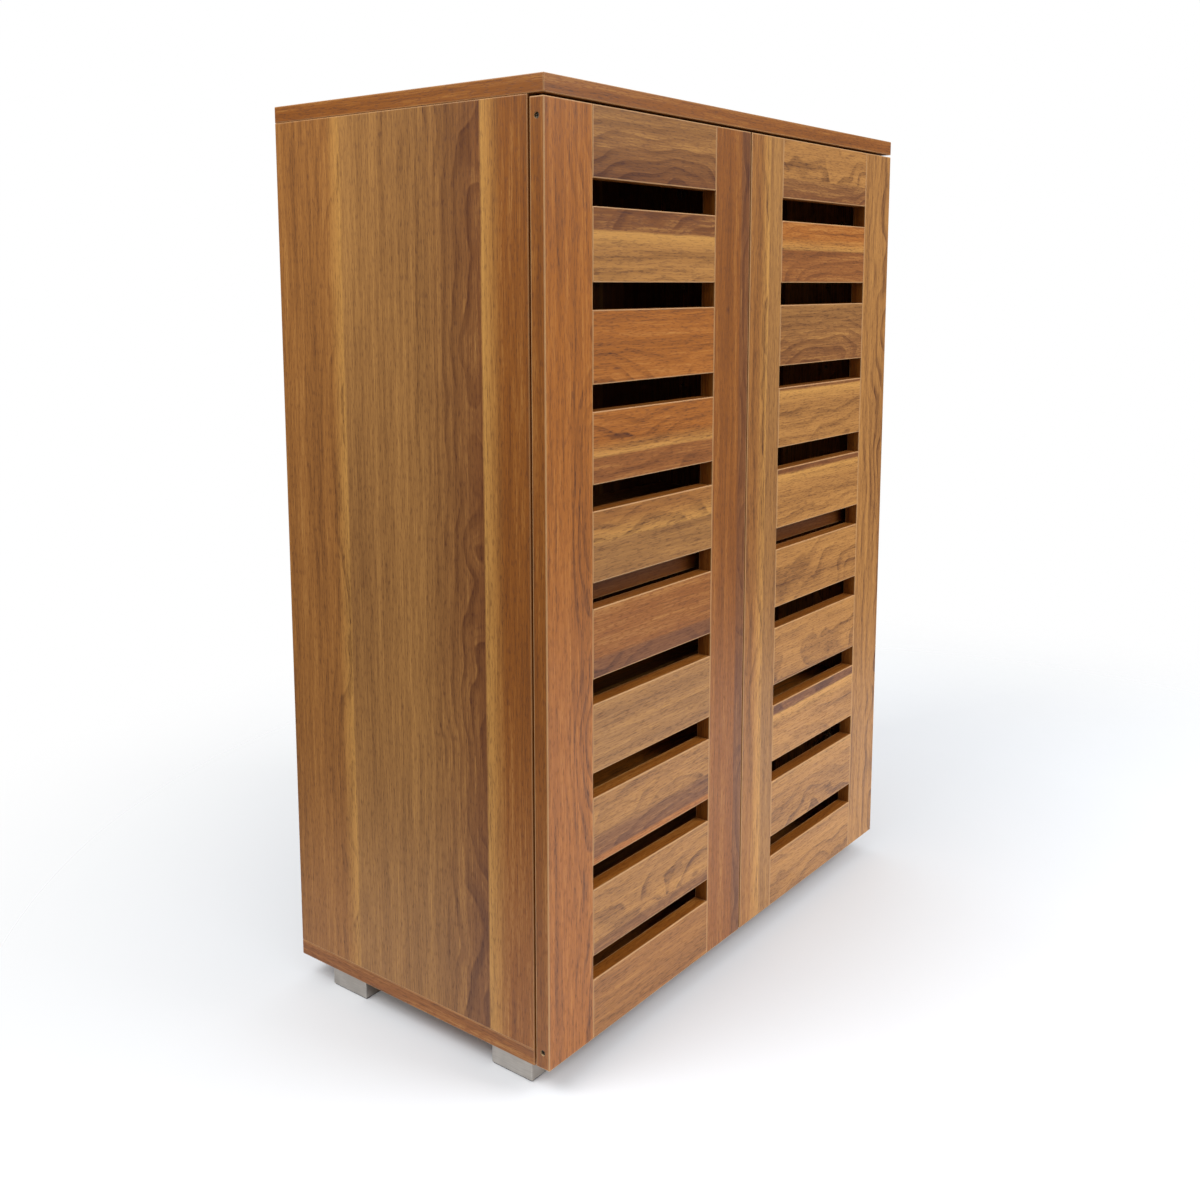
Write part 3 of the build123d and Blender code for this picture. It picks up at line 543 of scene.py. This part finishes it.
walnut_foil = foil_group()
chipboard = chipboard_material()
boards = []
for name, (grain_axis, window) in CARCASS_WINDOWS.items():
    boards.append((name, grain_axis, window, True, CARCASS_EDGE_HIGHLIGHT))
for name, window in STILE_WINDOWS.items():
    boards.append((name, 2, window, False, DOOR_EDGE_HIGHLIGHT))
for side, windows in RAIL_WINDOWS.items():
    for number, window in enumerate(windows, start=1):
        boards.append((f"{side}_door_rail_{number:02d}", 0, window, True, DOOR_EDGE_HIGHLIGHT))
for index, (name, grain_axis, window, flipped, edge_highlight) in enumerate(boards):
    cover_board(name, board_material(name, grain_axis, window, index * SEED_STEP, flipped, edge_highlight))


# ---------------------------------------------------------------- other materials


def cover(names, material):
    """Give whole pieces one material."""
    for name in names:
        mesh = nodes[name].data
        mesh.materials.clear()
        mesh.materials.append(material)


def metal(name, tones, roughness, lines):
    """Metal with fine lines, so many a metre along each axis, and uneven gloss."""
    material, tree, shader = new_material(name)
    place = tree.parts(tree.add("TexCoord").outputs["Object"])
    stretched = [tree.math("MULTIPLY", number, scale) for number, scale in zip(place, lines)]
    brushed = tree.noise(tree.point(*stretched), detail=3.0)
    stain = tree.noise(tree.point(*place), detail=2.0, scale=METAL_STAINS)
    mixed = tree.math("MULTIPLY_ADD", stain, 0.5, tree.math("MULTIPLY", brushed, 0.5))
    tree.feed(shader.inputs["Base Color"], tree.tint(tree.span(mixed, *METAL_SPAN), *tones))
    tree.feed(shader.inputs["Roughness"], tree.span(brushed, *NOISE_SPAN, *roughness))
    tree.feed(shader.inputs["Normal"], tree.bump(brushed, distance=0.00003, strength=0.5))
    shader.inputs["Metallic"].default_value = 1.0
    return material


def pad_material():
    """Black moulded plastic with a fine texture."""
    material, tree, shader = new_material("black_pad")
    texture = tree.noise(tree.add("TexCoord").outputs["Object"], detail=3.0, scale=PAD_TEXTURE)
    tree.feed(shader.inputs["Base Color"], tree.tint(texture, *PAD_TONES))
    tree.feed(shader.inputs["Roughness"], tree.span(texture, *NOISE_SPAN, start=0.55, end=0.8))
    tree.feed(shader.inputs["Normal"], tree.bump(texture, distance=0.0001, strength=0.4))
    return material


def dowel_material():
    """Bare beech with short flecks."""
    material, tree, shader = new_material("beech")
    place = tree.parts(tree.add("TexCoord").outputs["Object"])
    flecks = grain(tree, "fleck", place[0], tree.math("ADD", place[1], place[2]), 0.0)
    tree.feed(shader.inputs["Base Color"], tree.tint(flecks, *BEECH_TONES))
    tree.feed(shader.inputs["Roughness"], tree.span(flecks, *NOISE_SPAN, start=0.6, end=0.8))
    tree.feed(shader.inputs["Normal"], tree.bump(flecks, distance=0.0001, strength=0.5))
    return material


def hardboard_material():
    """Thin board with a darker print of the foil inside and pressed fibres outside."""
    material, tree, shader = new_material("hardboard")
    coordinates = tree.add("TexCoord")
    place = tree.parts(coordinates.outputs["Object"])
    normal = tree.parts(coordinates.outputs["Normal"])
    outside = tree.math("GREATER_THAN", normal[1], 0.0)
    foil = foil_on(tree, place[2], tree.math("ADD", place[0], BACK_SHIFT), BACK_SEED)
    fibres = tree.noise(coordinates.outputs["Object"], detail=6.0, scale=HARDBOARD_FIBRES, roughness=0.7)
    inner_print = tree.tint(BACK_DIM, foil["Color"], DEEP)
    pressed = tree.ramp(fibres, HARDBOARD_STOPS)
    tree.feed(shader.inputs["Base Color"], tree.tint(outside, inner_print, pressed))
    tree.feed(shader.inputs["Roughness"], tree.blend(outside, 0.5, 0.85))
    height = tree.blend(outside, foil["Relief"], fibres)
    tree.feed(shader.inputs["Normal"], tree.bump(height, distance=0.0002, strength=0.5))
    return material


satin = metal("satin_foot_metal", SATIN_TONES, roughness=(0.40, 0.52), lines=(60.0, 60.0, 2600.0))
nickel = metal("nickel_plate", NICKEL_TONES, roughness=(0.18, 0.34), lines=(500.0, 500.0, 900.0))
zinc = metal("zinc_plate", ZINC_TONES, roughness=(0.32, 0.52), lines=(900.0, 900.0, 900.0))
hole_shaded_zinc = metal("zinc_plate_hole_shade", HOLE_SHADE_ZINC_TONES, roughness=(0.45, 0.65), lines=(900.0, 900.0, 900.0))

# Feet
cover([f"{end}_{side}_foot" for end in ("front", "back") for side in ("left", "right")], satin)
cover(["foot_pads"], pad_material())
cover(["foot_screws"], zinc)

# Back panel, dowels and fittings of the boards
cover(["back_panel"], hardboard_material())
cover(["carcass_dowels", "left_door_dowels", "right_door_dowels"], dowel_material())
cover(["cam_bolts", "cam_discs", "confirmat_screws"], zinc)
# The door frame screws get the darker zinc: painted shade of their holes
cover(["left_door_frame_screws", "right_door_frame_screws"], hole_shaded_zinc)

# Shelf pins and hinges
cover(["shelf_pins", "hinge_arms", "hinge_mounting_plates"], nickel)
cover(["hinge_plate_screws", "hinge_arm_screws"], nickel)
for side in ("left", "right"):
    cover([f"{side}_hinge_cups", f"{side}_cup_screws", f"{side}_outer_links", f"{side}_inner_links"], nickel)


# ---------------------------------------------------------------- floor, light and camera


def studio_floor():
    """A plain pale floor: a disc that fades to white outwards and shows only from above."""
    corners = []
    for step in range(FLOOR_SIDES):
        turn = math.tau * step / FLOOR_SIDES
        corners.append((FLOOR_RADIUS * math.cos(turn), FLOOR_RADIUS * math.sin(turn), 0.0))
    mesh = bpy.data.meshes.new("studio_floor")
    mesh.from_pydata(corners, [], [tuple(range(FLOOR_SIDES))])
    floor = bpy.data.objects.new("studio_floor", mesh)
    floor.location = FLOOR_CENTRE
    bpy.context.scene.collection.objects.link(floor)
    material, tree, shader = new_material("studio_floor")
    place = tree.add("TexCoord").outputs["Object"]
    clouds = tree.noise(place, detail=2.0, scale=FLOOR_CLOUDS)
    tree.feed(shader.inputs["Base Color"], tree.tint(clouds, *FLOOR_TONES))
    fade = tree.span(tree.length(place), FLOOR_FADE_START, FLOOR_RADIUS, 1.0, 0.0)
    from_above = tree.math("SUBTRACT", 1.0, tree.add("NewGeometry").outputs["Backfacing"])
    tree.feed(shader.inputs["Alpha"], tree.math("MULTIPLY", fade, from_above))
    shader.inputs["Roughness"].default_value = 0.7
    shader.inputs["Specular IOR Level"].default_value = 0.2
    mesh.materials.append(material)


def add_light(name, light, aim, place=(0.0, 0.0, 0.0)):
    """Put a light in the scene, turned along a direction."""
    lamp = bpy.data.objects.new(name, light)
    lamp.location = place
    lamp.rotation_euler = Vector(aim).to_track_quat("-Z", "Y").to_euler()
    bpy.context.scene.collection.objects.link(lamp)
    return lamp


def soft_light(name, place, target, span, power, shines):
    """A large square light that looks at a point, with or without a reflection of its own."""
    light = bpy.data.lights.new(name, "AREA")
    light.size = span
    light.energy = power
    lamp = add_light(name, light, Vector(target) - Vector(place), place)
    lamp.visible_camera = False
    lamp.visible_glossy = shines


def sun():
    """Broad even light from above, the same all over the floor."""
    light = bpy.data.lights.new("overhead", "SUN")
    light.angle = math.radians(SUN_SPREAD)
    light.energy = SUN_POWER
    add_light("overhead", light, SUN_AIM)


def studio_world():
    """Surroundings that the camera sees as white, and that light the object dimly."""
    world = bpy.data.worlds.new("studio_world")
    world.use_nodes = True
    tree = Tree(world.node_tree)
    shown = tree.add("LightPath").outputs["Is Camera Ray"]
    background = world.node_tree.nodes["Background"]
    background.inputs["Color"].default_value = (1.0, 1.0, 1.0, 1.0)
    tree.feed(background.inputs["Strength"], tree.blend(shown, AMBIENT, 1.0))
    bpy.context.scene.world = world


def camera():
    """The camera at the photograph's angle: turned to the near corner, above the middle and tilted down."""
    turn = math.radians(CAMERA_TURN)
    tilt = math.radians(CAMERA_TILT)
    ahead = Vector((math.sin(turn) * math.cos(tilt), math.cos(turn) * math.cos(tilt), -math.sin(tilt)))
    data = bpy.data.cameras.new("camera")
    data.lens = LENS
    data.shift_y = SHIFT
    data.clip_start = CLIP_START
    shot = bpy.data.objects.new("camera", data)
    shot.location = CAMERA_PLACE
    shot.rotation_euler = ahead.to_track_quat("-Z", "Y").to_euler()
    bpy.context.scene.collection.objects.link(shot)
    bpy.context.scene.camera = shot


studio_floor()
studio_world()
sun()
for settings in SOFT_LIGHTS:
    soft_light(*settings)
camera()
bpy.context.scene.view_settings.view_transform = "Standard"
